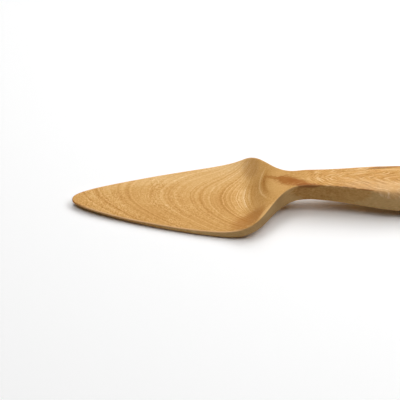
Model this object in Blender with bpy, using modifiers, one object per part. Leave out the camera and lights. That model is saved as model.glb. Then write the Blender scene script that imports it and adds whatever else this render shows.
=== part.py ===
"""Cake knife carved from one board: a leaf blade, a scooped neck and a flared handle.

Metres, +Z up. The knife lies along X with its tip at -X, on the plane Z = 0.
The origin is under the middle of its length.
"""

import bpy
import bmesh
import numpy as np
from math import cos, exp, radians, sin
from mathutils import Vector
from mathutils.geometry import interpolate_bezier

# Plan: lengths of the stretches along the knife, from the tip to the end of the handle
BLADE_LENGTH = 0.105
SHOULDER_LENGTH = 0.0325
FLARE_LENGTH = 0.064
GRIP_LENGTH = 0.063
BUTT_LENGTH = 0.0155

# Plan: full widths and the tip
BLADE_WIDTH = 0.0660
WAIST_WIDTH = 0.0150
HANDLE_WIDTH = 0.0272
BUTT_WIDTH = 0.0250
TIP_RADIUS = 0.0052
TIP_ANGLE = radians(50.0)

# Side view: heights of the upper line above the plane that the knife lies on
TIP_THICKNESS = 0.0014
BLADE_THICKNESS = 0.0037
SCOOP_HEIGHT = 0.0123
SCOOP_ANGLE = radians(33.4)
CREST_HEIGHT = 0.0210
HANDLE_HEIGHT = 0.0196
BUTT_HEIGHT = 0.0188

# Side view: heights of the lower line
TIP_LIFT = 0.0030
TIP_UNDER_ANGLE = radians(-4.5)
HEEL_HEIGHT = 0.0048
HEEL_ANGLE = radians(7.5)
ARCH_HEIGHT = 0.0090

# How much sooner the scoop climbs and the heel lifts at the blade's edges than in the middle
SCOOP_LEAD = 0.0048
HEEL_LEAD = 0.012

# The hollow that the gouge leaves at the scoop's foot: how far past the blade's widest place it
# lies, its half length and its depth
HOLLOW_OFFSET = 0.0025
HOLLOW_LENGTH = 0.0075
HOLLOW_DEPTH = 0.0017

# Radii of the eased edges on top
BLADE_ARRIS = 0.0008
HANDLE_ARRIS = 0.0024
BUTT_ARRIS = 0.0040

# Radii of the eased edges underneath
TIP_UNDER_ROUND = 0.0009
BLADE_UNDER_ROUND = 0.0012
NECK_UNDER_ROUND = 0.0019
HANDLE_UNDER_ROUND = 0.0012
BUTT_UNDER_ROUND = 0.0035

# Places along the knife, each as a share of the stretch that it lies in
PAD_START_SHARE = 0.68
PAD_END_SHARE = 0.92
RISE_START_SHARE = 0.40
SCOOP_SHARE = 0.30
HEEL_SHARE = 0.52
NECK_ROUND_SHARE = 0.64
CREST_SHARE = 0.085
ARCH_SHARE = 0.115
LEVEL_SHARE = 0.855

# Curve handles in plan, each as a share of the stretch that it shapes
SIDE_HANDLE_SHARES = (0.125, 0.23)
SHOULDER_HANDLE_SHARES = (0.41, 0.495)
FLARE_HANDLE_SHARES = (0.50, 0.36)
GRIP_HANDLE_SHARES = (0.45, 0.30)
BUTT_HANDLE_SHARES = (0.72, 0.66)

# Curve handles in the side view, each as a share of the stretch that it shapes
TIP_TOP_HANDLE_SHARES = (0.40, 0.40)
LOWER_SCOOP_HANDLE_SHARES = (0.79, 0.19)
UPPER_SCOOP_HANDLE_SHARES = (0.43, 0.15)
BACK_HANDLE_SHARES = (0.65, 0.12)
LIFT_HANDLE_SHARES = (0.30, 0.36)
LOWER_HEEL_HANDLE_SHARES = (0.80, 0.25)
UPPER_HEEL_HANDLE_SHARES = (0.45, 0.37)
ARCH_HANDLE_SHARES = (0.10, 0.06)

# The largest share of the wood's thickness that one eased edge takes
EDGE_LIMIT_SHARE = 0.45

# Counts of steps along the curves, across the faces and round the edges
TIP_STEPS = 6
SIDE_STEPS = 30
SHOULDER_STEPS = 24
FLARE_STEPS = 16
GRIP_STEPS = 10
BUTT_STEPS = 12
PROFILE_STEPS = 60
TOP_SPANS = 6
UNDER_SPANS = 4
ARRIS_STEPS = 3
UNDER_ROUND_STEPS = 4

# Stations measured from the tip
SHOULDER_X = BLADE_LENGTH
WAIST_X = SHOULDER_X + SHOULDER_LENGTH
HANDLE_X = WAIST_X + FLARE_LENGTH
BUTT_X = HANDLE_X + GRIP_LENGTH
END_X = BUTT_X + BUTT_LENGTH

MERGE_DISTANCE = 0.000001


def clear_scene():
    for old in list(bpy.data.objects):
        bpy.data.objects.remove(old, do_unlink=True)


def wood_material():
    material = bpy.data.materials.new("pale_hardwood")
    material.use_nodes = True
    shader = material.node_tree.nodes["Principled BSDF"]
    shader.inputs["Base Color"].default_value = (0.66, 0.37, 0.14, 1.0)
    shader.inputs["Roughness"].default_value = 0.55
    shader.inputs["Metallic"].default_value = 0.0
    return material


def curve_between(start, start_angle, end, end_angle, handle_shares, steps):
    """A cubic that leaves one point and reaches the next at the given angles.

    Each handle is a share of the distance along the knife between the two points.
    """
    reach = end.x - start.x
    first_handle = reach * handle_shares[0]
    second_handle = reach * handle_shares[1]
    leaving = start + first_handle * Vector((cos(start_angle), sin(start_angle), 0.0))
    arriving = end - second_handle * Vector((cos(end_angle), sin(end_angle), 0.0))
    return interpolate_bezier(start, leaving, arriving, end, steps + 1)


def joined(curves):
    """One row of points from curves that meet end to end."""
    points = list(curves[0])
    for curve in curves[1:]:
        points.extend(curve[1:])
    return points


def plan_outline():
    """Half of the outline seen from above, from the tip to the end of the handle."""
    tip_arc = []
    for step in range(TIP_STEPS + 1):
        turn = (radians(90.0) - TIP_ANGLE) * step / TIP_STEPS
        tip_arc.append(Vector((TIP_RADIUS - TIP_RADIUS * cos(turn), TIP_RADIUS * sin(turn), 0.0)))

    shoulder = Vector((SHOULDER_X, BLADE_WIDTH / 2, 0.0))
    waist = Vector((WAIST_X, WAIST_WIDTH / 2, 0.0))
    handle = Vector((HANDLE_X, HANDLE_WIDTH / 2, 0.0))
    butt = Vector((BUTT_X, BUTT_WIDTH / 2, 0.0))
    end = Vector((END_X, 0.0, 0.0))

    leaving = butt + Vector((BUTT_LENGTH * BUTT_HANDLE_SHARES[0], 0.0, 0.0))
    arriving = end + Vector((0.0, BUTT_WIDTH / 2 * BUTT_HANDLE_SHARES[1], 0.0))
    return joined([
        tip_arc,
        curve_between(tip_arc[-1], TIP_ANGLE, shoulder, 0.0, SIDE_HANDLE_SHARES, SIDE_STEPS),
        curve_between(shoulder, 0.0, waist, 0.0, SHOULDER_HANDLE_SHARES, SHOULDER_STEPS),
        curve_between(waist, 0.0, handle, 0.0, FLARE_HANDLE_SHARES, FLARE_STEPS),
        curve_between(handle, 0.0, butt, 0.0, GRIP_HANDLE_SHARES, GRIP_STEPS),
        interpolate_bezier(butt, leaving, arriving, end, BUTT_STEPS + 1),
    ])


def top_profile():
    """Upper line of the side view: a level blade, the scoop up the neck, the handle's back."""
    tip = Vector((0.0, TIP_LIFT + TIP_THICKNESS, 0.0))
    blade = Vector((BLADE_LENGTH * RISE_START_SHARE, BLADE_THICKNESS, 0.0))
    scoop = Vector((SHOULDER_X + SHOULDER_LENGTH * SCOOP_SHARE, SCOOP_HEIGHT, 0.0))
    crest = Vector((WAIST_X + FLARE_LENGTH * CREST_SHARE, CREST_HEIGHT, 0.0))
    level = Vector((WAIST_X + FLARE_LENGTH * LEVEL_SHARE, HANDLE_HEIGHT, 0.0))
    end = Vector((END_X, BUTT_HEIGHT, 0.0))
    return joined([
        curve_between(tip, 0.0, blade, 0.0, TIP_TOP_HANDLE_SHARES, PROFILE_STEPS),
        curve_between(blade, 0.0, scoop, SCOOP_ANGLE, LOWER_SCOOP_HANDLE_SHARES, PROFILE_STEPS),
        curve_between(scoop, SCOOP_ANGLE, crest, 0.0, UPPER_SCOOP_HANDLE_SHARES, PROFILE_STEPS),
        curve_between(crest, 0.0, level, 0.0, BACK_HANDLE_SHARES, PROFILE_STEPS),
        [level, end],
    ])


def under_profile():
    """Lower line: a lifted tip, the blade's flat, the heel, the arch and the butt's flat."""
    tip = Vector((0.0, TIP_LIFT, 0.0))
    pad_start = Vector((BLADE_LENGTH * PAD_START_SHARE, 0.0, 0.0))
    pad_end = Vector((BLADE_LENGTH * PAD_END_SHARE, 0.0, 0.0))
    heel = Vector((SHOULDER_X + SHOULDER_LENGTH * HEEL_SHARE, HEEL_HEIGHT, 0.0))
    arch = Vector((WAIST_X + FLARE_LENGTH * ARCH_SHARE, ARCH_HEIGHT, 0.0))
    butt = Vector((BUTT_X, 0.0, 0.0))
    end = Vector((END_X, 0.0, 0.0))
    return joined([
        curve_between(tip, TIP_UNDER_ANGLE, pad_start, 0.0, LIFT_HANDLE_SHARES, PROFILE_STEPS),
        [pad_start, pad_end],
        curve_between(pad_end, 0.0, heel, HEEL_ANGLE, LOWER_HEEL_HANDLE_SHARES, PROFILE_STEPS),
        curve_between(heel, HEEL_ANGLE, arch, 0.0, UPPER_HEEL_HANDLE_SHARES, PROFILE_STEPS),
        curve_between(arch, 0.0, butt, 0.0, ARCH_HANDLE_SHARES, PROFILE_STEPS),
        [butt, end],
    ])


def height_on(profile, x):
    stations = [point.x for point in profile]
    heights = [point.y for point in profile]
    return float(np.interp(x, stations, heights))


def top_height(profile, x, y):
    """Height of the upper face. The gouge goes deepest in the middle of the scoop."""
    across = (2 * y / BLADE_WIDTH) ** 2
    along = ((x - SHOULDER_X - HOLLOW_OFFSET) / HOLLOW_LENGTH) ** 2
    hollow = HOLLOW_DEPTH * exp(-along) * max(0.0, 1.0 - across)
    return height_on(profile, x + SCOOP_LEAD * across) - hollow


def under_height(profile, x, y):
    """Height of the lower face. Behind the blade it is relieved towards the edges."""
    return height_on(profile, x + HEEL_LEAD * (2 * y / BLADE_WIDTH) ** 2)


def eased(x, stations, sizes):
    """A size that eases from each station's value to the next one's."""
    size = sizes[0]
    for start, end, first, last in zip(stations, stations[1:], sizes, sizes[1:]):
        if x > start:
            share = min(1.0, (x - start) / (end - start))
            size = first + (last - first) * share * share * (3 - 2 * share)
    return size


def arris_radius(x):
    """Radius of the eased edge on top, crisp as far as the neck and softer in the hand."""
    stations = [0.0, WAIST_X + FLARE_LENGTH * CREST_SHARE, BUTT_X, END_X]
    return eased(x, stations, [BLADE_ARRIS, BLADE_ARRIS, HANDLE_ARRIS, BUTT_ARRIS])


def under_radius(x):
    """Radius of the eased edge underneath, fullest where the neck turns under."""
    neck_x = SHOULDER_X + SHOULDER_LENGTH * NECK_ROUND_SHARE
    stations = [0.0, BLADE_LENGTH * PAD_START_SHARE, SHOULDER_X, neck_x, HANDLE_X, END_X]
    return eased(x, stations, [
        TIP_UNDER_ROUND,
        BLADE_UNDER_ROUND,
        BLADE_UNDER_ROUND,
        NECK_UNDER_ROUND,
        HANDLE_UNDER_ROUND,
        BUTT_UNDER_ROUND,
    ])


def outward_normals(outline):
    """Unit normals in plan. The outline goes on as its own mirror image past both ends."""
    before = outline[1] * Vector((1, -1, 1))
    after = outline[-2] * Vector((1, -1, 1))
    padded = [before, *outline, after]
    normals = []
    for previous, following in zip(padded, padded[2:]):
        along = following - previous
        normals.append(Vector((-along.y, along.x, 0.0)).normalized())
    return normals


def half_section(point, outward, top, under):
    """Points of one section, from the top's middle out to the edge and back underneath."""
    thickness = top_height(top, point.x, point.y) - under_height(under, point.x, point.y)
    arris = min(arris_radius(point.x), thickness * EDGE_LIMIT_SHARE)
    turn_under = min(under_radius(point.x), thickness * EDGE_LIMIT_SHARE)
    top_edge = point - outward * arris
    under_edge = point - outward * turn_under
    top_edge_height = top_height(top, top_edge.x, top_edge.y)
    under_edge_height = under_height(under, under_edge.x, under_edge.y)

    section = []
    for span in range(TOP_SPANS):
        y = top_edge.y * span / TOP_SPANS
        section.append(Vector((top_edge.x, y, top_height(top, top_edge.x, y))))
    for step in range(ARRIS_STEPS + 1):
        turn = radians(90.0) * step / ARRIS_STEPS
        place = top_edge + outward * arris * sin(turn)
        place.z = top_edge_height - arris * (1 - cos(turn))
        section.append(place)
    for step in range(UNDER_ROUND_STEPS + 1):
        turn = radians(90.0) * step / UNDER_ROUND_STEPS
        place = under_edge + outward * turn_under * cos(turn)
        place.z = under_edge_height + turn_under * (1 - sin(turn))
        section.append(place)
    for span in reversed(range(UNDER_SPANS)):
        y = under_edge.y * span / UNDER_SPANS
        section.append(Vector((under_edge.x, y, under_height(under, under_edge.x, y))))
    return section


def carved_half(name):
    """Skin lofted through the half sections and open along the middle plane."""
    outline = plan_outline()
    top = top_profile()
    under = under_profile()
    shape = bmesh.new()
    rows = []
    for point, outward in zip(outline, outward_normals(outline)):
        section = half_section(point, outward, top, under)
        rows.append([shape.verts.new(place) for place in section])
    for row, following in zip(rows, rows[1:]):
        for a, b, c, d in zip(row, following, following[1:], row[1:]):
            shape.faces.new((a, b, c, d))
    bmesh.ops.remove_doubles(shape, verts=shape.verts, dist=MERGE_DISTANCE)
    mesh = bpy.data.meshes.new(name)
    shape.to_mesh(mesh)
    shape.free()
    mesh.shade_smooth()
    return mesh


def carved_body(collection):
    """The whole knife: the carved half and its mirror image, in one piece of wood."""
    body = bpy.data.objects.new("carved_body", carved_half("carved_body"))
    collection.objects.link(body)
    body.data.materials.append(wood_material())
    mirror = body.modifiers.new("other_half", "MIRROR")
    mirror.use_axis = (False, True, False)
    mirror.merge_threshold = MERGE_DISTANCE
    body.location.x = -END_X / 2
    return body


def main():
    clear_scene()
    collection = bpy.data.collections.new("cake_knife")
    bpy.context.scene.collection.children.link(collection)
    carved_body(collection)


main()
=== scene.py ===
from math import cos, exp, radians, sin
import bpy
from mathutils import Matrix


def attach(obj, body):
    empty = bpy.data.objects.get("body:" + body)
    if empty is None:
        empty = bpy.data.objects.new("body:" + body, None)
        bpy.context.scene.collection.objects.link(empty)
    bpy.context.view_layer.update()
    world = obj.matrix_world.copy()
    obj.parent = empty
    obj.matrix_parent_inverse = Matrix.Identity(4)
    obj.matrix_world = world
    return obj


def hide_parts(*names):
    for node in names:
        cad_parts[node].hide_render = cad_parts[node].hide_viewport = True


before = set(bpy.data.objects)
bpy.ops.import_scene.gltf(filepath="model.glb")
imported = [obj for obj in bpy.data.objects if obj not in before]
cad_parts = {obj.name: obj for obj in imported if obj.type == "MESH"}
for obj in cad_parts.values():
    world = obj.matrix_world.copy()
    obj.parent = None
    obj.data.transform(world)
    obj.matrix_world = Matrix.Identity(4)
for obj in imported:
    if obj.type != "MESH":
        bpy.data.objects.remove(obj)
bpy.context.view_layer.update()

from types import SimpleNamespace

import bmesh
import bpy
import numpy as np
from mathutils import Vector, noise
from mathutils.geometry import interpolate_bezier

# A cake knife carved from one board of pale hardwood. Metres, +Z up. The knife lies along X
# on the plane Z = 0, its tip at -X. Figure in the wood is measured in millimetres.

# Plan: lengths of the stretches along the knife, from the tip to the end of the handle
BLADE_LENGTH = 0.105
SHOULDER_LENGTH = 0.0325
FLARE_LENGTH = 0.064
GRIP_LENGTH = 0.063
BUTT_LENGTH = 0.0155

# Plan: full widths and the tip
BLADE_WIDTH = 0.0660
WAIST_WIDTH = 0.0150
HANDLE_WIDTH = 0.0272
BUTT_WIDTH = 0.0250
TIP_RADIUS = 0.0052
TIP_ANGLE = radians(50.0)

# Side view: heights of the upper line
TIP_THICKNESS = 0.0014
BLADE_THICKNESS = 0.0037
SCOOP_HEIGHT = 0.0123
SCOOP_ANGLE = radians(33.4)
CREST_HEIGHT = 0.0210
HANDLE_HEIGHT = 0.0196
BUTT_HEIGHT = 0.0188

# Side view: heights of the lower line
TIP_LIFT = 0.0030
TIP_UNDER_ANGLE = radians(-4.5)
HEEL_HEIGHT = 0.0048
HEEL_ANGLE = radians(7.5)
ARCH_HEIGHT = 0.0090

# How much sooner the scoop climbs and the heel lifts at the blade's edges than in the middle
SCOOP_LEAD = 0.0048
HEEL_LEAD = 0.012

# The hollow that the gouge leaves at the scoop's foot: how far past the blade's widest place it
# lies, its half length and its depth
HOLLOW_OFFSET = 0.0025
HOLLOW_LENGTH = 0.0075
HOLLOW_DEPTH = 0.0017

# Radii of the eased edges on top
BLADE_ARRIS = 0.0008
HANDLE_ARRIS = 0.0024
BUTT_ARRIS = 0.0040

# Radii of the eased edges underneath
TIP_UNDER_ROUND = 0.0009
BLADE_UNDER_ROUND = 0.0012
NECK_UNDER_ROUND = 0.0019
HANDLE_UNDER_ROUND = 0.0012
BUTT_UNDER_ROUND = 0.0035

# The largest share of the wood's thickness that one eased edge takes up, without the near wear
EDGE_LIMIT_SHARE = 0.45

# The grip's near edge is worn rounder than the far one: how much farther in and down it goes.
# The wear starts on the flare, is full just before the grip and fades before the butt.
NEAR_WEAR_IN = 0.0022
NEAR_WEAR_DOWN = 0.0036
NEAR_WEAR_START_SHARE = 0.60
NEAR_WEAR_FULL_SHARE = 0.08
NEAR_WEAR_FADE_SHARE = 0.3

# The blade is relieved underneath, so its edges stand off the table: how far in the relief
# reaches, how much higher it lifts the lower arris, and where along the blade it is full, starts
# to fade and ends
RELIEF_REACH = 0.0042
RELIEF_LIFT = 0.0002
RELIEF_FULL_SHARE = 0.22
RELIEF_FADE_SHARE = 0.84
RELIEF_END_SHARE = 1.02

# Marks that hand scraping leaves: how deep they go, how far apart they lie across the knife, and
# the share that this is of their spacing along it
SCRAPE_DEPTH = 0.00010
SCRAPE_SPACING = 0.016
SCRAPE_LENGTH_SHARE = 0.45

# Places along the knife, each as a share of the stretch that it lies in
PAD_START_SHARE = 0.68
PAD_END_SHARE = 0.92
RISE_START_SHARE = 0.40
SCOOP_SHARE = 0.30
HEEL_SHARE = 0.52
NECK_ROUND_SHARE = 0.64
CREST_SHARE = 0.085
ARCH_SHARE = 0.115
LEVEL_SHARE = 0.855

# Curve handles in plan, each as a share of the stretch that it shapes
SIDE_HANDLE_SHARES = (0.125, 0.23)
SHOULDER_HANDLE_SHARES = (0.41, 0.495)
FLARE_HANDLE_SHARES = (0.50, 0.36)
GRIP_HANDLE_SHARES = (0.45, 0.30)
BUTT_HANDLE_SHARES = (0.72, 0.66)

# Curve handles in the side view, each as a share of the stretch that it shapes
TIP_TOP_HANDLE_SHARES = (0.40, 0.40)
LOWER_SCOOP_HANDLE_SHARES = (0.79, 0.19)
UPPER_SCOOP_HANDLE_SHARES = (0.43, 0.15)
BACK_HANDLE_SHARES = (0.65, 0.12)
LIFT_HANDLE_SHARES = (0.30, 0.36)
LOWER_HEEL_HANDLE_SHARES = (0.80, 0.25)
UPPER_HEEL_HANDLE_SHARES = (0.45, 0.37)
ARCH_HANDLE_SHARES = (0.10, 0.06)

# How finely the carving is cut: steps along each stretch and round each edge
TIP_STEPS = 12
SIDE_STEPS = 110
SHOULDER_STEPS = 64
FLARE_STEPS = 64
GRIP_STEPS = 50
BUTT_STEPS = 24
PROFILE_STEPS = 160
TOP_SPANS = 24
ARRIS_STEPS = 5
SIDE_SPANS = 4
UNDER_ROUND_STEPS = 5
UNDER_SPANS = 16
MERGE_DISTANCE = 0.000001

# Stations measured from the tip
SHOULDER_X = BLADE_LENGTH
WAIST_X = SHOULDER_X + SHOULDER_LENGTH
HANDLE_X = WAIST_X + FLARE_LENGTH
BUTT_X = HANDLE_X + GRIP_LENGTH
END_X = BUTT_X + BUTT_LENGTH
CREST_X = WAIST_X + FLARE_LENGTH * CREST_SHARE
PAD_START_X = BLADE_LENGTH * PAD_START_SHARE


# Shape


def curve_between(start, start_angle, end, end_angle, handle_shares, steps):
    """A cubic that leaves one point and reaches the next at the given angles."""
    reach = end.x - start.x
    leaving = start + reach * handle_shares[0] * Vector((cos(start_angle), sin(start_angle), 0.0))
    arriving = end - reach * handle_shares[1] * Vector((cos(end_angle), sin(end_angle), 0.0))
    return interpolate_bezier(start, leaving, arriving, end, steps + 1)


def joined(curves):
    """One row of points from curves that meet end to end."""
    points = list(curves[0])
    for curve in curves[1:]:
        points.extend(curve[1:])
    return points


def plan_outline():
    """Half of the outline seen from above, from the tip to the end of the handle."""
    tip_arc = []
    for step in range(TIP_STEPS + 1):
        turn = (radians(90.0) - TIP_ANGLE) * step / TIP_STEPS
        tip_arc.append(Vector((TIP_RADIUS - TIP_RADIUS * cos(turn), TIP_RADIUS * sin(turn), 0.0)))

    shoulder = Vector((SHOULDER_X, BLADE_WIDTH / 2, 0.0))
    waist = Vector((WAIST_X, WAIST_WIDTH / 2, 0.0))
    handle = Vector((HANDLE_X, HANDLE_WIDTH / 2, 0.0))
    butt = Vector((BUTT_X, BUTT_WIDTH / 2, 0.0))
    end = Vector((END_X, 0.0, 0.0))

    leaving = butt + Vector((BUTT_LENGTH * BUTT_HANDLE_SHARES[0], 0.0, 0.0))
    arriving = end + Vector((0.0, BUTT_WIDTH / 2 * BUTT_HANDLE_SHARES[1], 0.0))
    return joined([
        tip_arc,
        curve_between(tip_arc[-1], TIP_ANGLE, shoulder, 0.0, SIDE_HANDLE_SHARES, SIDE_STEPS),
        curve_between(shoulder, 0.0, waist, 0.0, SHOULDER_HANDLE_SHARES, SHOULDER_STEPS),
        curve_between(waist, 0.0, handle, 0.0, FLARE_HANDLE_SHARES, FLARE_STEPS),
        curve_between(handle, 0.0, butt, 0.0, GRIP_HANDLE_SHARES, GRIP_STEPS),
        interpolate_bezier(butt, leaving, arriving, end, BUTT_STEPS + 1),
    ])


def top_profile():
    """Upper line of the side view: a level blade, the scoop up the neck, the handle's back."""
    tip = Vector((0.0, TIP_LIFT + TIP_THICKNESS, 0.0))
    blade = Vector((BLADE_LENGTH * RISE_START_SHARE, BLADE_THICKNESS, 0.0))
    scoop = Vector((SHOULDER_X + SHOULDER_LENGTH * SCOOP_SHARE, SCOOP_HEIGHT, 0.0))
    crest = Vector((CREST_X, CREST_HEIGHT, 0.0))
    level = Vector((WAIST_X + FLARE_LENGTH * LEVEL_SHARE, HANDLE_HEIGHT, 0.0))
    end = Vector((END_X, BUTT_HEIGHT, 0.0))
    return joined([
        curve_between(tip, 0.0, blade, 0.0, TIP_TOP_HANDLE_SHARES, PROFILE_STEPS),
        curve_between(blade, 0.0, scoop, SCOOP_ANGLE, LOWER_SCOOP_HANDLE_SHARES, PROFILE_STEPS),
        curve_between(scoop, SCOOP_ANGLE, crest, 0.0, UPPER_SCOOP_HANDLE_SHARES, PROFILE_STEPS),
        curve_between(crest, 0.0, level, 0.0, BACK_HANDLE_SHARES, PROFILE_STEPS),
        [level, end],
    ])


def under_profile():
    """Lower line: a lifted tip, the blade's flat, the heel, the arch and the butt's flat."""
    tip = Vector((0.0, TIP_LIFT, 0.0))
    pad_start = Vector((PAD_START_X, 0.0, 0.0))
    pad_end = Vector((BLADE_LENGTH * PAD_END_SHARE, 0.0, 0.0))
    heel = Vector((SHOULDER_X + SHOULDER_LENGTH * HEEL_SHARE, HEEL_HEIGHT, 0.0))
    arch = Vector((WAIST_X + FLARE_LENGTH * ARCH_SHARE, ARCH_HEIGHT, 0.0))
    butt = Vector((BUTT_X, 0.0, 0.0))
    end = Vector((END_X, 0.0, 0.0))
    return joined([
        curve_between(tip, TIP_UNDER_ANGLE, pad_start, 0.0, LIFT_HANDLE_SHARES, PROFILE_STEPS),
        [pad_start, pad_end],
        curve_between(pad_end, 0.0, heel, HEEL_ANGLE, LOWER_HEEL_HANDLE_SHARES, PROFILE_STEPS),
        curve_between(heel, HEEL_ANGLE, arch, 0.0, UPPER_HEEL_HANDLE_SHARES, PROFILE_STEPS),
        curve_between(arch, 0.0, butt, 0.0, ARCH_HANDLE_SHARES, PROFILE_STEPS),
        [butt, end],
    ])


def height_on(profile, x):
    stations = [point.x for point in profile]
    heights = [point.y for point in profile]
    return float(np.interp(x, stations, heights))


def top_height(profile, x, y):
    """Height of the upper face. The gouge goes deepest in the middle of the scoop."""
    across = (2 * y / BLADE_WIDTH) ** 2
    along = ((x - SHOULDER_X - HOLLOW_OFFSET) / HOLLOW_LENGTH) ** 2
    hollow = HOLLOW_DEPTH * exp(-along) * max(0.0, 1.0 - across)
    return height_on(profile, x + SCOOP_LEAD * across) - hollow


def under_height(profile, x, y):
    """Height of the lower face. The heel lifts sooner at the edges than in the middle."""
    return height_on(profile, x + HEEL_LEAD * (2 * y / BLADE_WIDTH) ** 2)


def eased(x, stations, sizes):
    """A size that eases from each station's value to the next one's."""
    size = sizes[0]
    for start, end, first, last in zip(stations, stations[1:], sizes, sizes[1:]):
        if x > start:
            share = min(1.0, (x - start) / (end - start))
            size = first + (last - first) * share * share * (3 - 2 * share)
    return size


def arris_radius(x):
    stations = [0.0, CREST_X, BUTT_X, END_X]
    return eased(x, stations, [BLADE_ARRIS, BLADE_ARRIS, HANDLE_ARRIS, BUTT_ARRIS])


def near_wear(x, most):
    """Extra wear of the near edge, from past the neck to the butt."""
    stations = [
        WAIST_X + FLARE_LENGTH * NEAR_WEAR_START_SHARE,
        HANDLE_X - GRIP_LENGTH * NEAR_WEAR_FULL_SHARE,
        BUTT_X - GRIP_LENGTH * NEAR_WEAR_FADE_SHARE,
        BUTT_X,
    ]
    return eased(x, stations, [0.0, most, most, 0.0])


def under_radius(x):
    neck = SHOULDER_X + SHOULDER_LENGTH * NECK_ROUND_SHARE
    stations = [0.0, PAD_START_X, SHOULDER_X, neck, HANDLE_X, END_X]
    return eased(x, stations, [
        TIP_UNDER_ROUND,
        BLADE_UNDER_ROUND,
        BLADE_UNDER_ROUND,
        NECK_UNDER_ROUND,
        HANDLE_UNDER_ROUND,
        BUTT_UNDER_ROUND,
    ])


def blade_relief(x, most):
    """How far the blade's lower edge is relieved, from the tip to just past its widest place."""
    full = BLADE_LENGTH * RELIEF_FULL_SHARE
    fade_start = BLADE_LENGTH * RELIEF_FADE_SHARE
    end = BLADE_LENGTH * RELIEF_END_SHARE
    return eased(x, [0.0, full, fade_start, end], [0.0, most, most, 0.0])


def outward_normals(outline):
    """Unit normals in plan. The outline goes on as its own mirror image past both ends."""
    mirror = Vector((1, -1, 1))
    padded = [outline[1] * mirror, *outline, outline[-2] * mirror]
    normals = []
    for previous, following in zip(padded, padded[2:]):
        along = following - previous
        normals.append(Vector((-along.y, along.x, 0.0)).normalized())
    return normals


def half_section(point, outward, top, under, side):
    """One section from the top's middle round to the middle underneath, with its edge wear and the
    arris share for the painted highlight and torn fibre.
    """
    thickness = top_height(top, point.x, point.y) - under_height(under, point.x, point.y)
    edge_limit = thickness * EDGE_LIMIT_SHARE
    arris = min(arris_radius(point.x), edge_limit)
    under_up = min(under_radius(point.x) + blade_relief(point.x, RELIEF_LIFT), edge_limit)
    under_in = under_up + blade_relief(point.x, RELIEF_REACH)
    arris_in = arris
    arris_down = arris
    if side < 0:
        arris_in += near_wear(point.x, NEAR_WEAR_IN)
        arris_down += near_wear(point.x, NEAR_WEAR_DOWN)
    middle = point - outward * arris
    top_edge = point - outward * arris_in
    under_edge = point - outward * under_in
    top_edge_height = top_height(top, top_edge.x, top_edge.y)
    under_edge_height = under_height(under, under_edge.x, under_edge.y)

    section = []
    # Across the top
    for span in range(TOP_SPANS):
        share = span / TOP_SPANS
        x = middle.x + (top_edge.x - middle.x) * share
        y = top_edge.y * share
        section.append((Vector((x, y, top_height(top, x, y))), 0.0))
    # Round the upper edge
    for step in range(ARRIS_STEPS + 1):
        turn = radians(90.0) * step / ARRIS_STEPS
        place = top_edge + outward * arris_in * sin(turn)
        place.z = top_edge_height - arris_down * (1 - cos(turn))
        section.append((place, sin(2 * turn)))
    # Down the side
    side_top = top_edge_height - arris_down
    side_foot = under_edge_height + under_up
    for span in range(1, SIDE_SPANS):
        height = side_top + (side_foot - side_top) * span / SIDE_SPANS
        section.append((Vector((point.x, point.y, height)), 0.0))
    # Round the lower edge
    for step in range(UNDER_ROUND_STEPS + 1):
        turn = radians(90.0) * step / UNDER_ROUND_STEPS
        place = under_edge + outward * under_in * cos(turn)
        place.z = under_edge_height + under_up * (1 - sin(turn))
        section.append((place, 0.0))
    # Back across the underside
    for span in reversed(range(UNDER_SPANS)):
        y = under_edge.y * span / UNDER_SPANS
        section.append((Vector((under_edge.x, y, under_height(under, under_edge.x, y))), 0.0))
    return section


def loft_half(shape, arris_mask, sections, side):
    """Skin through the half sections, on the far side for 1 and on the near side for -1."""
    rows = []
    for section in sections:
        row = []
        for place, arris_share in section:
            vertex = shape.verts.new((place.x - END_X / 2, place.y * side, place.z))
            vertex[arris_mask] = arris_share
            row.append(vertex)
        rows.append(row)
    for row, following in zip(rows, rows[1:]):
        for a, b, c, d in zip(row, following, following[1:], row[1:]):
            shape.faces.new((a, b, c, d) if side > 0 else (d, c, b, a))


def scrape(shape):
    """Press the soft hollows that a hand scraper leaves into the skin, never outwards."""
    shape.normal_update()
    hollows = []
    for vertex in shape.verts:
        place = vertex.co / SCRAPE_SPACING
        place.x *= SCRAPE_LENGTH_SHARE
        hollow = 0.5 + 0.5 * noise.noise(place)
        hollows.append((vertex, vertex.normal * SCRAPE_DEPTH * hollow))
    for vertex, hollow in hollows:
        vertex.co -= hollow


def carved_knife():
    outline = plan_outline()
    top = top_profile()
    under = under_profile()
    shape = bmesh.new()
    # The arris share on the mesh carries the painted highlight and the torn fibre
    arris_mask = shape.verts.layers.float.new("arris_highlight_and_wear")
    for side in (1, -1):
        sections = []
        for point, outward in zip(outline, outward_normals(outline)):
            sections.append(half_section(point, outward, top, under, side))
        loft_half(shape, arris_mask, sections, side)
    bmesh.ops.remove_doubles(shape, verts=shape.verts, dist=MERGE_DISTANCE)
    scrape(shape)
    mesh = bpy.data.meshes.new("knife_in_one_piece")
    shape.to_mesh(mesh)
    shape.free()
    mesh.shade_smooth()
    knife = bpy.data.objects.new("knife_in_one_piece", mesh)
    bpy.context.scene.collection.objects.link(knife)
    return knife


# Wood

# Millimetres to a metre
MM = 1000.0

# The heart of the tree lies above the board and runs askew to the knife. Across the board the
# growth rings are bowls: ring = height + slope * along - bow * (across - middle) squared.
RING_SLOPE = 0.48
RING_BOW = 0.019
RING_MIDDLE = 3.3
RING_SKEW = -0.175
RING_SKEW_FROM = -75.0
RING_MIDDLE_LEAST = -1.5

# How far the rings drift in mm, how many broad and narrow bands the fine ones make per mm, and how
# strong the broad ones are
RING_DRIFT_REACH = 1.4
YEARS_PER_MM = 0.8
SEASONS_PER_MM = 2.0
YEAR_STRENGTH = 0.7

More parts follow.
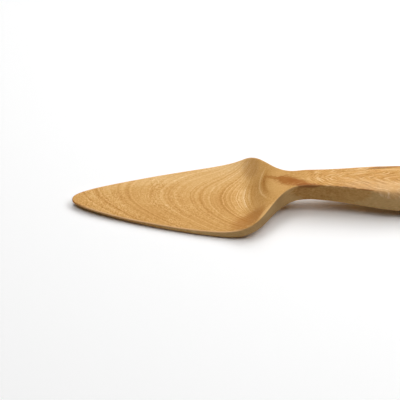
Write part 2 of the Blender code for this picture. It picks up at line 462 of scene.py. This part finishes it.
# Rings that stand out: place across the rings and half width in mm, then strength. Dark rings
# have a negative strength.
STANDING_RINGS = (
    (-61.2, 0.6, -0.6), (-58.8, 0.9, 0.5), (-56.6, 0.8, -1.0), (-53.0, 1.2, 0.7),
    (-50.3, 0.6, -0.6), (-49.1, 0.5, 0.7), (-47.6, 0.8, -1.0), (-45.4, 0.8, 0.5),
    (-37.6, 0.9, 0.8), (-35.5, 0.7, -1.0), (-33.7, 0.7, 0.5), (-25.8, 0.6, -0.7),
    (-24.2, 0.6, 0.5), (-19.4, 0.5, -0.6), (-15.4, 0.5, -0.5), (-11.0, 0.5, -0.3),
)

# The ring that the gouge cut through on the scoop, seen from above in mm: along = place + bow *
# (across - middle) squared. A light line lies on it and a dark crescent behind it, each with its
# place, its half width, how far to the side it is gone and is full, and its strength.
CUT_RING_BOW = 0.02
CUT_RING_MIDDLE = 2.5
CUT_RING_LINE = (-26.0, 0.7, (17.0, 8.0), 0.30)
CUT_RING_CRESCENT = (-23.4, 2.0, (14.0, 4.0), -0.25)

# Fibre and rays are short flecks: how long and how wide in mm, and how far they wander. The barbs
# are the feathered strokes on the grip.
FIBRE_LENGTH = 1.6
FIBRE_WIDTH = 0.5
RAY_LENGTH = 0.7
RAY_WIDTH = 1.7
FLECK_WANDER = 1.0
BARB_WANDER = 5.0

# How finely each cloud in the wood is grained along, across and down through the board, per mm,
# and per length and width for the flecks
RING_DRIFT_GRAIN = (0.03, 0.07, 0.07)
RING_WAVER_GRAIN = (0.18, 0.60, 0.60)
FLECK_BEND_GRAIN = (0.16, 0.16, 0.16)
BARB_BEND_GRAIN = (0.06, 0.16, 0.16)
FLECK_GRAIN = (1.0, 1.0, 1.0)
BARB_GRAIN = (0.7, 0.28, 0.28)
RAY_CLUSTER_GRAIN = (0.08, 0.10, 0.10)
BROAD_CLOUD_GRAIN = (0.03, 0.09, 0.09)
SIDE_MOTTLE_GRAIN = (0.5, 0.9, 0.9)
BLUSH_GRAIN = (0.14, 0.5, 0.5)
PATCH_TEAR_GRAIN = (0.25, 0.8, 0.8)
EDGE_TEAR_GRAIN = (0.3, 0.5, 0.5)

# How light the wood is on the whole, from 0 for the darkest fibre to 1 for the palest, and how
# much each thing changes that
MIDDLE_TONE = 0.46
STANDING_RING_STRENGTH = 0.16
FIBRE_STRENGTH = 0.65
BROAD_CLOUD_STRENGTH = 0.25
# Painted light on the patch before the scoop
LIVELY_PATCH_PAINTED_LIGHT = 0.20
LIVELY_PATCH_RINGS = 0.35

# What the sides lose: feathered strokes, contrast, and the olive tint with its painted light where the
# heartwood shows
SIDE_BARB_LOSS = 0.65
SIDE_CONTRAST_LOSS = 0.3
HEARTWOOD_OLIVE_LOSS = 0.8

# Looks that come and go along the knife: a stretch in mm from the knife's middle, and the levels
# where it starts and ends. The blade is widest at -35, the waist lies at -2.5, the grip is widest
# at 61.5, and the tip is at -140.
FINE_RINGS = (-80.0, -36.0), (0.28, 0.54)
SADDLE_CALM = (-34.0, -24.0), (0.0, 0.55)
RING_WAVER_REACH = (-8.0, 12.0), (0.8, 2.8)
RAYS_ON_BLADE = (-45.0, -85.0), (0.3, 1.0)
BARBS_ON_GRIP = (-6.0, 10.0), (0.0, 1.55)
BARB_OPENING = (4.0, 38.0), (0.9, 2.6)
FAR_BLADE_TONE = (-20.0, -35.0), (0.0, 0.20)
SIDE_MOTTLE = (-30.0, -5.0), (0.7, 1.0)
NECK_SIDE_START = (-60.0, -45.0), (0.0, 1.0)
NECK_SIDE_TONE = (6.0, -12.0), (0.0, -0.07)
# Painted light on the blade's sides
BLADE_SIDE_PAINTED_LIGHT = (-45.0, -58.0), (0.0, 0.2)
HEARTWOOD_TONE = (14.0, 36.0), (-0.12, -0.03)
GRIP_START = (-2.0, 12.0), (0.0, 1.0)
NEAR_STRIP_PALENESS = (14.0, 36.0), (0.0, 0.20)
# Olive tint on the sides, which also paints light onto them
OLIVE_SIDE = (-80.0, -45.0), (0.0, 0.42)
SHOULDER_START = (-38.0, -24.0), (0.0, 1.0)
SHOULDER_SHADE = (-6.0, -16.0), (0.0, 0.62)
# Painted shade over darker end grain on the sides round the tip
TIP_RIM_GRAIN_AND_SHADE = (-62.0, -95.0), (0.0, 0.42)
# Painted highlight on the arris: strong on the blade, faint behind it
EDGE_HIGHLIGHT_ALONG = (-45.0, -32.0), (0.85, 0.15)
# Painted shade over darker end grain on the tip's edges
TIP_EDGE_GRAIN_AND_SHADE = (-127.0, -137.0), (0.0, 1.0)
TORN_START = (-4.0, 4.0), (0.0, 1.0)
TORN_END = (46.0, 38.0), (0.0, 1.0)

# The same across the knife, in mm from its middle line. The far side is +Y.
FAR_HALF = (0.0, 24.0), (0.0, 1.0)
NEAR_STRIP = (1.0, -7.0), (0.0, 1.0)
NEAR_EDGE = (-5.0, -7.0), (0.0, 1.0)

# The height in mm down to which the pale wood of the top reaches. Up to the first place along the
# knife it is the height of the top itself, so the rounded edges have none, and on the grip it lies
# below them. The wood of the sides sets in within this many mm of that height.
TOP_WOOD_FOOT = (37.0, 50.0), (21.0, 14.6)
SIDE_WOOD = (0.4, -0.4), (0.0, 1.0)

# How far the skin turns up or down where it counts as upright, and how far it faces along the
# knife where the ends of the fibre make it darker
UPRIGHT = (0.75, 0.35), (0.0, 1.0)
END_GRAIN_TONE = (0.6, 0.95), (0.0, -0.25)

# How light the fibre is where the grip pales, and how dull the skin is on dark and on pale fibre
PALE_FIBRE = (0.45, 0.8), (0.0, 0.24)
FIBRE_ROUGHNESS = (0.3, 0.7), (0.62, 0.48)

# How much of its look a cloud or a patch gives, from its thin parts to its thick ones
RAYS_IN_CLUSTERS = (0.42, 0.62), (0.25, 1.05)
BLUSH = (0.42, 0.66), (0.0, 0.38)
TORN_FIBRE = (0.40, 0.62), (0.1, 0.9)
HEARTWOOD_EDGE = (0.0, 0.3), (0.0, 1.0)

# The edge of a patch, from its half size inwards
PATCH_EDGE = (1.0, 0.45), (0.0, 1.0)

# Patches in the wood: middle in mm, turn in degrees, half size in mm and raggedness. The rings
# are livelier in one before the scoop, which also gets painted light, and the heartwood shows on
# the sides from neck to grip.
LIVELY_PATCH = ((-36.5, -2.0, 5.0), 0.0, (7.0, 15.0, 8.0), 0.4)
HEARTWOOD = ((16.0, 0.0, 17.0), 0.0, (28.0, 40.0, 11.0), 0.35)

# Marks in the wood: a patch as above, then strength and colour. Most are stains; some are painted
# highlights, as noted.
STAINS = (
    # Painted highlight on the saddle behind the scoop
    ((-15.0, 0.0, 17.0), 0.0, (8.0, 16.0, 8.0), 0.5, 0.30, (232, 184, 116)),
    ((-18.0, 5.6, 17.0), -40.0, (9.0, 1.6, 6.0), 1.0, 0.6, (164, 98, 20)),
    ((-9.8, -0.4, 19.0), -34.0, (11.5, 5.2, 6.0), 1.1, 0.85, (160, 94, 20)),
    ((-3.6, -3.0, 20.4), -24.0, (11.0, 2.8, 4.0), 0.9, 0.75, (158, 92, 20)),
    ((1.0, -6.9, 20.5), -6.0, (11.0, 2.0, 2.6), 0.7, 0.9, (148, 82, 16)),
    ((50.5, 11.0, 19.9), 8.0, (15.0, 1.25, 4.0), 0.9, 0.85, (150, 98, 44)),
    ((55.0, 9.3, 19.7), 4.0, (14.0, 0.9, 4.0), 0.4, 0.5, (244, 206, 146)),
    # Darker patches at the near and far corners of the scoop's foot
    ((-33.0, -24.5, 9.5), 24.0, (17.0, 9.0, 10.0), 0.6, 0.6, (166, 104, 36)),
    ((-30.0, 24.0, 9.5), -8.0, (8.0, 13.0, 8.0), 0.3, 0.32, (158, 104, 44)),
    # Painted highlight along the neck's near arris
    ((-22.5, -23.0, 14.0), 50.0, (11.0, 2.2, 6.0), 0.6, 0.6, (236, 190, 122)),
)

# Colours of the fibre, as red, green and blue: the darkest one, and how light the wood is at each
# lighter one
DARKEST_FIBRE_COLOUR = (154, 94, 30)
LIGHTER_FIBRE_COLOURS = (
    (0.25, (187, 132, 62)),
    (0.5, (208, 158, 89)),
    (0.75, (225, 183, 122)),
    (1.0, (242, 213, 170)),
)

# Tints on the wood. The olive one also paints light onto the sides, the rim and tip ones are painted
# shade over darker end grain, and the arris one is a painted highlight.
PALE_GRIP_COLOUR = (236, 208, 172)
BLUSH_COLOUR = (212, 156, 84)
# Lighter than the wood, so that it also paints light onto the sides
OLIVE_AND_PAINTED_LIGHT_COLOUR = (216, 184, 132)
SHOULDER_COLOUR = (146, 116, 72)
# Painted shade over darker end grain round the tip
TIP_RIM_GRAIN_AND_SHADE_COLOUR = (166, 104, 48)
# Painted highlight on the arris
EDGE_HIGHLIGHT_COLOUR = (255, 206, 150)
# Painted shade over darker end grain on the tip's edges
TIP_EDGE_GRAIN_AND_SHADE_COLOUR = (170, 106, 50)
TORN_COLOUR = (150, 97, 42)

# The bare wood's skin: its dull shine, and how strongly and how far in metres the fibre stands up
SKIN_SPECULAR_LEVEL = 0.18
FIBRE_BUMP_STRENGTH = 0.35
FIBRE_BUMP_DISTANCE = 0.00008


def fill(tree, sockets, values):
    """Link each socket to its value, or set it where the value is a plain one."""
    for socket, value in zip(sockets, values):
        if isinstance(value, bpy.types.NodeSocket):
            tree.links.new(value, socket)
        else:
            socket.default_value = value


def maths(tree, operation, *values):
    node = tree.nodes.new("ShaderNodeMath")
    node.operation = operation
    fill(tree, node.inputs, values)
    return node.outputs["Value"]


def times(tree, product, *others):
    """The product of two values or more."""
    for other in others:
        product = maths(tree, "MULTIPLY", product, other)
    return product


def minus(tree, whole, part):
    return maths(tree, "SUBTRACT", whole, part)


def more(tree, base, value, strength=1.0):
    """The base with a value added to it at some strength."""
    return maths(tree, "MULTIPLY_ADD", value, strength, base)


def swing(tree, cloud):
    """A cloud or tone of 0 to 1 as it swings around 0."""
    return minus(tree, cloud, 0.5)


def unsigned(tree, value):
    return maths(tree, "ABSOLUTE", value)


def vectors(tree, operation, *values):
    node = tree.nodes.new("ShaderNodeVectorMath")
    node.operation = operation
    fill(tree, node.inputs, values)
    return node.outputs["Vector"]


def distance_from_middle(tree, vector):
    node = tree.nodes.new("ShaderNodeVectorMath")
    node.operation = "LENGTH"
    tree.links.new(vector, node.inputs[0])
    return node.outputs["Value"]


def fade(tree, value, reach, levels):
    """Ease from the first level to the second while a value goes through its reach."""
    node = tree.nodes.new("ShaderNodeMapRange")
    node.interpolation_type = "SMOOTHSTEP"
    fill(tree, node.inputs, (value, *reach, *levels))
    return node.outputs["Result"]


def clouds(tree, place, grain, detail):
    """Clouds of 0 to 1 in the board, grained by this much along, across and down."""
    node = tree.nodes.new("ShaderNodeTexNoise")
    tree.links.new(vectors(tree, "MULTIPLY", place, grain), node.inputs["Vector"])
    node.inputs["Scale"].default_value = 1.0
    node.inputs["Detail"].default_value = detail
    return node.outputs["Fac"]


def bands(tree, level, per_mm, detail):
    """Bands of 0 to 1 that follow one another along a level."""
    node = tree.nodes.new("ShaderNodeTexNoise")
    node.noise_dimensions = "1D"
    tree.links.new(level, node.inputs["W"])
    node.inputs["Scale"].default_value = per_mm
    node.inputs["Detail"].default_value = detail
    return node.outputs["Fac"]


def mixed(tree, factor, first, second):
    node = tree.nodes.new("ShaderNodeMix")
    node.data_type = "RGBA"
    fill(tree, (node.inputs["Factor"], node.inputs[6], node.inputs[7]), (factor, first, second))
    return node.outputs[2]


def split(tree, vector):
    node = tree.nodes.new("ShaderNodeSeparateXYZ")
    tree.links.new(vector, node.inputs[0])
    return node.outputs["X"], node.outputs["Y"], node.outputs["Z"]


def joined_vector(tree, x, y, z):
    node = tree.nodes.new("ShaderNodeCombineXYZ")
    fill(tree, node.inputs, (x, y, z))
    return node.outputs["Vector"]


def colour(red, green, blue):
    """A linear colour from the 0 to 255 values of a colour chart."""
    parts = []
    for value in (red, green, blue):
        share = value / 255
        parts.append(share / 12.92 if share <= 0.04045 else ((share + 0.055) / 1.055) ** 2.4)
    return (*parts, 1.0)


def new_group(name, inputs, outputs):
    tree = bpy.data.node_groups.new(name, "ShaderNodeTree")
    for socket_name, kind in inputs:
        tree.interface.new_socket(socket_name, in_out="INPUT", socket_type=kind)
    for socket_name in outputs:
        tree.interface.new_socket(socket_name, in_out="OUTPUT", socket_type="NodeSocketFloat")
    given = tree.nodes.new("NodeGroupInput")
    result = tree.nodes.new("NodeGroupOutput")
    return tree, given.outputs, result.inputs


def use_group(tree, group, **values):
    """Place a group. Its sockets' names are given with an underscore for each space."""
    node = tree.nodes.new("ShaderNodeGroup")
    node.node_tree = group
    for name, value in values.items():
        socket = node.inputs[name.replace("_", " ")]
        fill(tree, [socket], [value])
    return node.outputs


def ring_line():
    """1 on a line at one place across the rings, easing to 0 at its half width."""
    tree, given, result = new_group(
        "ring line",
        [("Level", "NodeSocketFloat"), ("Place", "NodeSocketFloat"), ("Half Width", "NodeSocketFloat")],
        ["Line"],
    )
    away = unsigned(tree, minus(tree, given["Level"], given["Place"]))
    fill(tree, [result["Line"]], [fade(tree, away, (given["Half Width"], 0.0), (0.0, 1.0))])
    return tree


def growth_rings(line):
    """The growth rings at a place in the board: the few that stand out, and the fine ones."""
    tree, given, result = new_group(
        "growth rings", [("Place", "NodeSocketVector")], ["Standing", "Fine"]
    )
    place = given["Place"]
    x, y, z = split(tree, place)
    skewed = more(tree, RING_MIDDLE - RING_SKEW * RING_SKEW_FROM, x, RING_SKEW)
    middle = maths(tree, "MAXIMUM", skewed, RING_MIDDLE_LEAST)
    across = minus(tree, y, middle)
    bow = times(tree, across, across, RING_BOW)
    level = minus(tree, more(tree, z, x, RING_SLOPE), bow)

    drift = swing(tree, clouds(tree, place, RING_DRIFT_GRAIN, detail=2.0))
    waver = swing(tree, clouds(tree, place, RING_WAVER_GRAIN, detail=2.0))
    level = more(tree, level, drift, RING_DRIFT_REACH)
    level = more(tree, level, waver, fade(tree, x, *RING_WAVER_REACH))

    standing = 0.0
    for ring_place, half_width, strength in STANDING_RINGS:
        drawn = use_group(tree, line, Level=level, Place=ring_place, Half_Width=half_width)["Line"]
        standing = more(tree, standing, drawn, strength)

    years = swing(tree, bands(tree, level, YEARS_PER_MM, detail=0.0))
    seasons = swing(tree, bands(tree, level, SEASONS_PER_MM, detail=1.0))
    fine = more(tree, seasons, years, YEAR_STRENGTH)
    fill(tree, [result["Standing"], result["Fine"]], [standing, fine])
    return tree


def fibre_flecks():
    """Short strokes of light and dark fibre that lie along the board."""
    tree, given, result = new_group(
        "fibre flecks",
        [("Place", "NodeSocketVector"), ("Length", "NodeSocketFloat"), ("Width", "NodeSocketFloat"),
         ("Wander", "NodeSocketFloat")],
        ["Flecks"],
    )
    x, y, z = split(tree, given["Place"])
    bend = swing(tree, clouds(tree, given["Place"], FLECK_BEND_GRAIN, detail=1.0))
    sway = times(tree, bend, given["Wander"])
    along = maths(tree, "DIVIDE", x, given["Length"])
    across = maths(tree, "DIVIDE", more(tree, y, sway), given["Width"])
    deep = maths(tree, "DIVIDE", more(tree, z, sway), given["Width"])
    place = joined_vector(tree, along, across, deep)
    fill(tree, [result["Flecks"]], [clouds(tree, place, FLECK_GRAIN, detail=3.0)])
    return tree


def feathered_strokes():
    """Strokes that feather out from the middle of the grip like the barbs of a quill."""
    tree, given, result = new_group(
        "feathered strokes", [("Place", "NodeSocketVector"), ("Spread", "NodeSocketFloat")], ["Strokes"]
    )
    x, y, z = split(tree, given["Place"])
    bend = swing(tree, clouds(tree, given["Place"], BARB_BEND_GRAIN, detail=1.0))
    outwards = unsigned(tree, more(tree, y, bend, BARB_WANDER))
    level = minus(tree, x, times(tree, outwards, given["Spread"]))
    place = joined_vector(tree, level, y, z)
    fill(tree, [result["Strokes"]], [clouds(tree, place, BARB_GRAIN, detail=2.5)])
    return tree


def stained_patch():
    """A ragged egg of other wood inside the board: 1 in its middle and 0 outside."""
    tree, given, result = new_group(
        "stained patch",
        [("Place", "NodeSocketVector"), ("Middle", "NodeSocketVector"), ("Turn", "NodeSocketVector"),
         ("Half Size", "NodeSocketVector"), ("Ragged", "NodeSocketFloat")],
        ["Patch"],
    )
    tear = swing(tree, clouds(tree, given["Place"], PATCH_TEAR_GRAIN, detail=3.0))
    offset = vectors(tree, "SUBTRACT", given["Place"], given["Middle"])
    turn = tree.nodes.new("ShaderNodeVectorRotate")
    turn.rotation_type = "EULER_XYZ"
    turn.invert = True
    fill(tree, [turn.inputs["Vector"], turn.inputs["Rotation"]], [offset, given["Turn"]])
    shrunk = vectors(tree, "DIVIDE", turn.outputs["Vector"], given["Half Size"])
    reach = more(tree, distance_from_middle(tree, shrunk), tear, given["Ragged"])
    fill(tree, [result["Patch"]], [fade(tree, reach, *PATCH_EDGE)])
    return tree


def patch_on(tree, patch, spot, middle, turn, half_size, ragged):
    """1 inside one patch of the wood and 0 outside it."""
    return use_group(
        tree, patch, Place=spot.place, Middle=middle, Turn=(0.0, 0.0, radians(turn)),
        Half_Size=half_size, Ragged=ragged,
    )["Patch"]


def spot_on_skin(tree):
    """Where a point of the skin lies in the board, in mm, and which way it faces."""
    here = tree.nodes.new("ShaderNodeTexCoord").outputs
    place = vectors(tree, "MULTIPLY", here["Object"], (MM, MM, MM))
    x, y, z = split(tree, place)
    facing = split(tree, here["Normal"])
    upright = fade(tree, unsigned(tree, facing[2]), *UPRIGHT)
    side_wood = fade(tree, minus(tree, z, fade(tree, x, *TOP_WOOD_FOOT)), *SIDE_WOOD)
    return SimpleNamespace(
        place=place,
        x=x,
        y=y,
        upright=upright,
        side=times(tree, upright, side_wood),
        end_grain=unsigned(tree, facing[0]),
    )


def with_rings(tree, tone, spot, ring):
    """Growth rings, strongest before the scoop and calm on the saddle behind it."""
    tone = more(tree, tone, ring["Standing"], STANDING_RING_STRENGTH)
    strength = minus(tree, fade(tree, spot.x, *FINE_RINGS), fade(tree, spot.x, *SADDLE_CALM))
    return more(tree, tone, ring["Fine"], strength)


def with_cut_ring(tree, tone, spot, line):
    """The light line and the dark crescent of the ring that the gouge cut through."""
    across = minus(tree, spot.y, CUT_RING_MIDDLE)
    level = minus(tree, spot.x, times(tree, across, across, CUT_RING_BOW))
    away = unsigned(tree, across)
    for place, half_width, fading, strength in (CUT_RING_LINE, CUT_RING_CRESCENT):
        drawn = use_group(tree, line, Level=level, Place=place, Half_Width=half_width)["Line"]
        tone = more(tree, tone, drawn, fade(tree, away, fading, (0.0, strength)))
    return tone


def with_fibre(tree, tone, spot, fibre, flecks):
    """Fibre all over, rays in clusters on the blade, and feathered strokes on the grip."""
    tone = more(tree, tone, swing(tree, fibre), FIBRE_STRENGTH)

    rays = use_group(
        tree, flecks, Place=spot.place, Length=RAY_LENGTH, Width=RAY_WIDTH, Wander=FLECK_WANDER
    )["Flecks"]
    clusters = clouds(tree, spot.place, RAY_CLUSTER_GRAIN, detail=0.0)
    strength = times(tree, fade(tree, clusters, *RAYS_IN_CLUSTERS), fade(tree, spot.x, *RAYS_ON_BLADE))
    tone = more(tree, tone, swing(tree, rays), strength)

    opening = fade(tree, spot.x, *BARB_OPENING)
    barbs = use_group(tree, feathered_strokes(), Place=spot.place, Spread=opening)["Strokes"]
    kept_on_side = more(tree, 1.0, spot.side, -SIDE_BARB_LOSS)
    strength = times(tree, fade(tree, spot.x, *BARBS_ON_GRIP), kept_on_side)
    return more(tree, tone, swing(tree, barbs), strength)


def with_light_and_shade(tree, tone, spot):
    """Broad clouds, a paler far half of the blade, dark end grain, painted light on the blade's sides,
    and sides of less contrast.
    """
    broad = swing(tree, clouds(tree, spot.place, BROAD_CLOUD_GRAIN, detail=1.0))
    tone = more(tree, tone, broad, BROAD_CLOUD_STRENGTH)
    tone = more(tree, tone, fade(tree, spot.y, *FAR_HALF), fade(tree, spot.x, *FAR_BLADE_TONE))
    tone = more(tree, tone, fade(tree, spot.end_grain, *END_GRAIN_TONE))

    mottle = swing(tree, clouds(tree, spot.place, SIDE_MOTTLE_GRAIN, detail=3.0))
    tone = more(tree, tone, times(tree, mottle, spot.side), fade(tree, spot.x, *SIDE_MOTTLE))
    neck = times(tree, fade(tree, spot.x, *NECK_SIDE_START), fade(tree, spot.x, *NECK_SIDE_TONE))
    tone = more(tree, tone, spot.side, neck)
    # Painted light on the blade's sides
    tone = more(tree, tone, spot.side, fade(tree, spot.x, *BLADE_SIDE_PAINTED_LIGHT))
    return more(tree, tone, swing(tree, tone), times(tree, spot.side, -SIDE_CONTRAST_LOSS))


def with_patches(tree, tone, spot, ring, patch, heartwood):
    """Livelier rings before the scoop with painted light over them, and darker heartwood on the
    handle's sides.
    """
    # Painted light and livelier rings in the patch before the scoop
    lively_lit_patch = patch_on(tree, patch, spot, *LIVELY_PATCH)
    tone = more(tree, tone, lively_lit_patch, more(tree, LIVELY_PATCH_PAINTED_LIGHT, ring["Fine"], LIVELY_PATCH_RINGS))
    return more(tree, tone, heartwood, fade(tree, spot.x, *HEARTWOOD_TONE))


def fibre_colour(tree, tone):
    """The wood's colour, from how light it is."""
    ramp = tree.nodes.new("ShaderNodeValToRGB")
    stops = ramp.color_ramp.elements
    stops.remove(stops[1])
    stops[0].color = colour(*DARKEST_FIBRE_COLOUR)
    for place, shade in LIGHTER_FIBRE_COLOURS:
        stops.new(place).color = colour(*shade)
    fill(tree, [ramp.inputs["Fac"]], [tone])
    return ramp.outputs["Color"]


def with_stains(tree, wood, spot, patch):
    for middle, turn, half_size, ragged, strength, stain in STAINS:
        mark = patch_on(tree, patch, spot, middle, turn, half_size, ragged)
        wood = mixed(tree, times(tree, mark, strength), wood, colour(*stain))
    return wood


def with_grip_tints(tree, wood, spot, tone):
    """On the grip's top, pale fibre and a pale strip along the near edge, and warm blushes."""
    grip_top = times(tree, minus(tree, 1.0, spot.side), fade(tree, spot.x, *GRIP_START))
    strip = times(tree, fade(tree, spot.y, *NEAR_STRIP), fade(tree, spot.x, *NEAR_STRIP_PALENESS))
    pale = more(tree, strip, fade(tree, tone, *PALE_FIBRE))
    wood = mixed(tree, times(tree, grip_top, pale), wood, colour(*PALE_GRIP_COLOUR))
    blush = fade(tree, clouds(tree, spot.place, BLUSH_GRAIN, detail=2.0), *BLUSH)
    return mixed(tree, times(tree, blush, grip_top), wood, colour(*BLUSH_COLOUR))


def with_side_tints(tree, wood, spot, heartwood):
    """Olive sides lifted with painted light, darker on the shoulder, and a brown rim of painted shade
    over darker end grain round the blade's tip.
    """
    sapwood = more(tree, 1.0, heartwood, -HEARTWOOD_OLIVE_LOSS)
    # Olive tint with painted light on the sides, less where the heartwood shows
    olive_and_light = times(tree, spot.side, fade(tree, spot.x, *OLIVE_SIDE), sapwood)
    wood = mixed(tree, olive_and_light, wood, colour(*OLIVE_AND_PAINTED_LIGHT_COLOUR))
    shoulder = times(
        tree, spot.side, fade(tree, spot.x, *SHOULDER_START), fade(tree, spot.x, *SHOULDER_SHADE)
    )
    wood = mixed(tree, shoulder, wood, colour(*SHOULDER_COLOUR))
    # Painted shade over darker end grain on the rim round the tip
    rim = times(tree, spot.upright, fade(tree, spot.x, *TIP_RIM_GRAIN_AND_SHADE))
    return mixed(tree, rim, wood, colour(*TIP_RIM_GRAIN_AND_SHADE_COLOUR))


def with_edge_highlight_and_torn_fibre(tree, wood, spot):
    """Edges with a painted highlight, painted shade over darker end grain at the tip, and torn fibre on
    the near edge from neck to grip.
    """
    arris_mask = tree.nodes.new("ShaderNodeAttribute")
    arris_mask.attribute_name = "arris_highlight_and_wear"
    arris_share = arris_mask.outputs["Fac"]
    # Painted highlight on the arris, and painted shade over darker end grain at the tip
    edge_light_and_shade = mixed(
        tree, fade(tree, spot.x, *TIP_EDGE_GRAIN_AND_SHADE), colour(*EDGE_HIGHLIGHT_COLOUR), colour(*TIP_EDGE_GRAIN_AND_SHADE_COLOUR)
    )
    wood = mixed(tree, times(tree, arris_share, fade(tree, spot.x, *EDGE_HIGHLIGHT_ALONG)), wood, edge_light_and_shade)
    near = times(
        tree,
        fade(tree, spot.y, *NEAR_EDGE),
        fade(tree, spot.x, *TORN_START),
        fade(tree, spot.x, *TORN_END),
    )
    torn = fade(tree, clouds(tree, spot.place, EDGE_TEAR_GRAIN, detail=3.0), *TORN_FIBRE)
    return mixed(tree, times(tree, arris_share, torn, near), wood, colour(*TORN_COLOUR))


def bare_skin(tree, wood, fibre):
    """A bare skin of this colour, duller in the dark fibre, that the fibre makes uneven."""
    shader = tree.nodes["Principled BSDF"]
    tree.links.new(wood, shader.inputs["Base Color"])
    tree.links.new(fade(tree, fibre, *FIBRE_ROUGHNESS), shader.inputs["Roughness"])
    shader.inputs["Specular IOR Level"].default_value = SKIN_SPECULAR_LEVEL
    bump = tree.nodes.new("ShaderNodeBump")
    bump.inputs["Strength"].default_value = FIBRE_BUMP_STRENGTH
    bump.inputs["Distance"].default_value = FIBRE_BUMP_DISTANCE
    tree.links.new(fibre, bump.inputs["Height"])
    tree.links.new(bump.outputs["Normal"], shader.inputs["Normal"])


def carved_wood():
    material = bpy.data.materials.new("carved_pale_hardwood")
    material.use_nodes = True
    tree = material.node_tree
    line = ring_line()
    flecks = fibre_flecks()
    patch = stained_patch()

    spot = spot_on_skin(tree)
    ring = use_group(tree, growth_rings(line), Place=spot.place)
    fibre = use_group(
        tree, flecks, Place=spot.place, Length=FIBRE_LENGTH, Width=FIBRE_WIDTH, Wander=FLECK_WANDER
    )["Flecks"]
    heartwood = fade(tree, patch_on(tree, patch, spot, *HEARTWOOD), *HEARTWOOD_EDGE)
    heartwood = times(tree, heartwood, spot.side)

    tone = with_rings(tree, MIDDLE_TONE, spot, ring)
    tone = with_cut_ring(tree, tone, spot, line)
    tone = with_fibre(tree, tone, spot, fibre, flecks)
    tone = with_light_and_shade(tree, tone, spot)
    tone = with_patches(tree, tone, spot, ring, patch, heartwood)

    wood = fibre_colour(tree, tone)
    wood = with_stains(tree, wood, spot, patch)
    wood = with_grip_tints(tree, wood, spot, tone)
    wood = with_side_tints(tree, wood, spot, heartwood)
    wood = with_edge_highlight_and_torn_fibre(tree, wood, spot)
    bare_skin(tree, wood, fibre)
    return material


# Studio

# Square softboxes face this place from this far. Each has its azimuth and elevation in degrees,
# and its watts.
SOFTBOX_AIM = Vector((-0.02, 0.0, 0.0))
SOFTBOX_REACH = 1.2
SOFTBOX_SIDE = 0.55
SOFTBOXES = {
    "left_softbox": (180.0, 68.0, 3.0),
    "front_softbox": (-90.0, 68.0, 2.1),
    "high_rear_softbox": (90.0, 68.0, 3.4),
    "right_softbox": (0.0, 45.0, 4.7),
    "rear_right_softbox": (45.0, 45.0, 4.0),
    "rear_softbox": (90.0, 45.0, 2.4),
}

# The paper ends in a soft rim, beyond which there is only the white backdrop. It looks white, and
# throws this much of the light back.
FLOOR_RADIUS = 0.9
FLOOR_FADE_FROM = 0.35
FLOOR_BOUNCE = 0.65
FLOOR_ROUGHNESS = 0.9

WHITE = (1.0, 1.0, 1.0, 1.0)

# The camera stands in front of the knife and looks down at 40 degrees. Lens in millimetres.
CAMERA_PLACE = (-0.0621, -0.5327, 0.4500)
CAMERA_TILT = radians(50.0)
CAMERA_SENSOR = 36.0
CAMERA_LENS = 102.69


def seen_directly(tree):
    """1 for what the camera sees, straight or in a reflection, and 0 for light that bounces."""
    path = tree.nodes.new("ShaderNodeLightPath").outputs
    seen = maths(tree, "MAXIMUM", path["Is Camera Ray"], path["Is Glossy Ray"])
    return maths(tree, "MAXIMUM", seen, path["Is Transmission Ray"])


def white_paper():
    material = bpy.data.materials.new("white_paper")
    material.use_nodes = True
    tree = material.node_tree
    shader = tree.nodes["Principled BSDF"]
    shader.inputs["Roughness"].default_value = FLOOR_ROUGHNESS
    shader.inputs["Specular IOR Level"].default_value = 0.0
    bounced = (FLOOR_BOUNCE, FLOOR_BOUNCE, FLOOR_BOUNCE, 1.0)
    paper = mixed(tree, seen_directly(tree), bounced, WHITE)
    tree.links.new(paper, shader.inputs["Base Color"])
    spot = tree.nodes.new("ShaderNodeTexCoord")
    distance = distance_from_middle(tree, spot.outputs["Object"])
    rim = fade(tree, distance, (FLOOR_RADIUS, FLOOR_FADE_FROM), (0.0, 1.0))
    tree.links.new(rim, shader.inputs["Alpha"])
    return material


def studio_floor():
    mesh = bpy.data.meshes.new("studio_floor")
    half = FLOOR_RADIUS
    corners = [(-half, -half, 0.0), (half, -half, 0.0), (half, half, 0.0), (-half, half, 0.0)]
    mesh.from_pydata(corners, [], [(0, 1, 2, 3)])
    floor = bpy.data.objects.new("studio_floor", mesh)
    bpy.context.scene.collection.objects.link(floor)
    floor.data.materials.append(white_paper())


def softbox(name, azimuth, elevation, power):
    data = bpy.data.lights.new(name, "AREA")
    data.shape = "SQUARE"
    data.size = SOFTBOX_SIDE
    data.energy = power
    light = bpy.data.objects.new(name, data)
    turn = radians(azimuth)
    climb = radians(elevation)
    towards = Vector((cos(climb) * cos(turn), cos(climb) * sin(turn), sin(climb)))
    light.location = SOFTBOX_AIM + towards * SOFTBOX_REACH
    light.rotation_euler = towards.to_track_quat("Z", "Y").to_euler()
    bpy.context.scene.collection.objects.link(light)


def studio():
    scene = bpy.context.scene
    scene.view_settings.view_transform = "Standard"
    world = bpy.data.worlds.new("studio")
    scene.world = world
    world.use_nodes = True
    sky = world.node_tree.nodes["Background"]
    sky.inputs["Color"].default_value = WHITE
    world.node_tree.links.new(seen_directly(world.node_tree), sky.inputs["Strength"])
    studio_floor()
    for name, setting in SOFTBOXES.items():
        softbox(name, *setting)


def camera():
    data = bpy.data.cameras.new("camera")
    data.sensor_width = CAMERA_SENSOR
    data.lens = CAMERA_LENS
    view = bpy.data.objects.new("camera", data)
    view.location = CAMERA_PLACE
    view.rotation_euler = (CAMERA_TILT, 0.0, 0.0)
    bpy.context.scene.collection.objects.link(view)
    bpy.context.scene.camera = view


knife = carved_knife()
knife.data.materials.append(carved_wood())
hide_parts("carved_body")
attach(knife, "root")
studio()
camera()
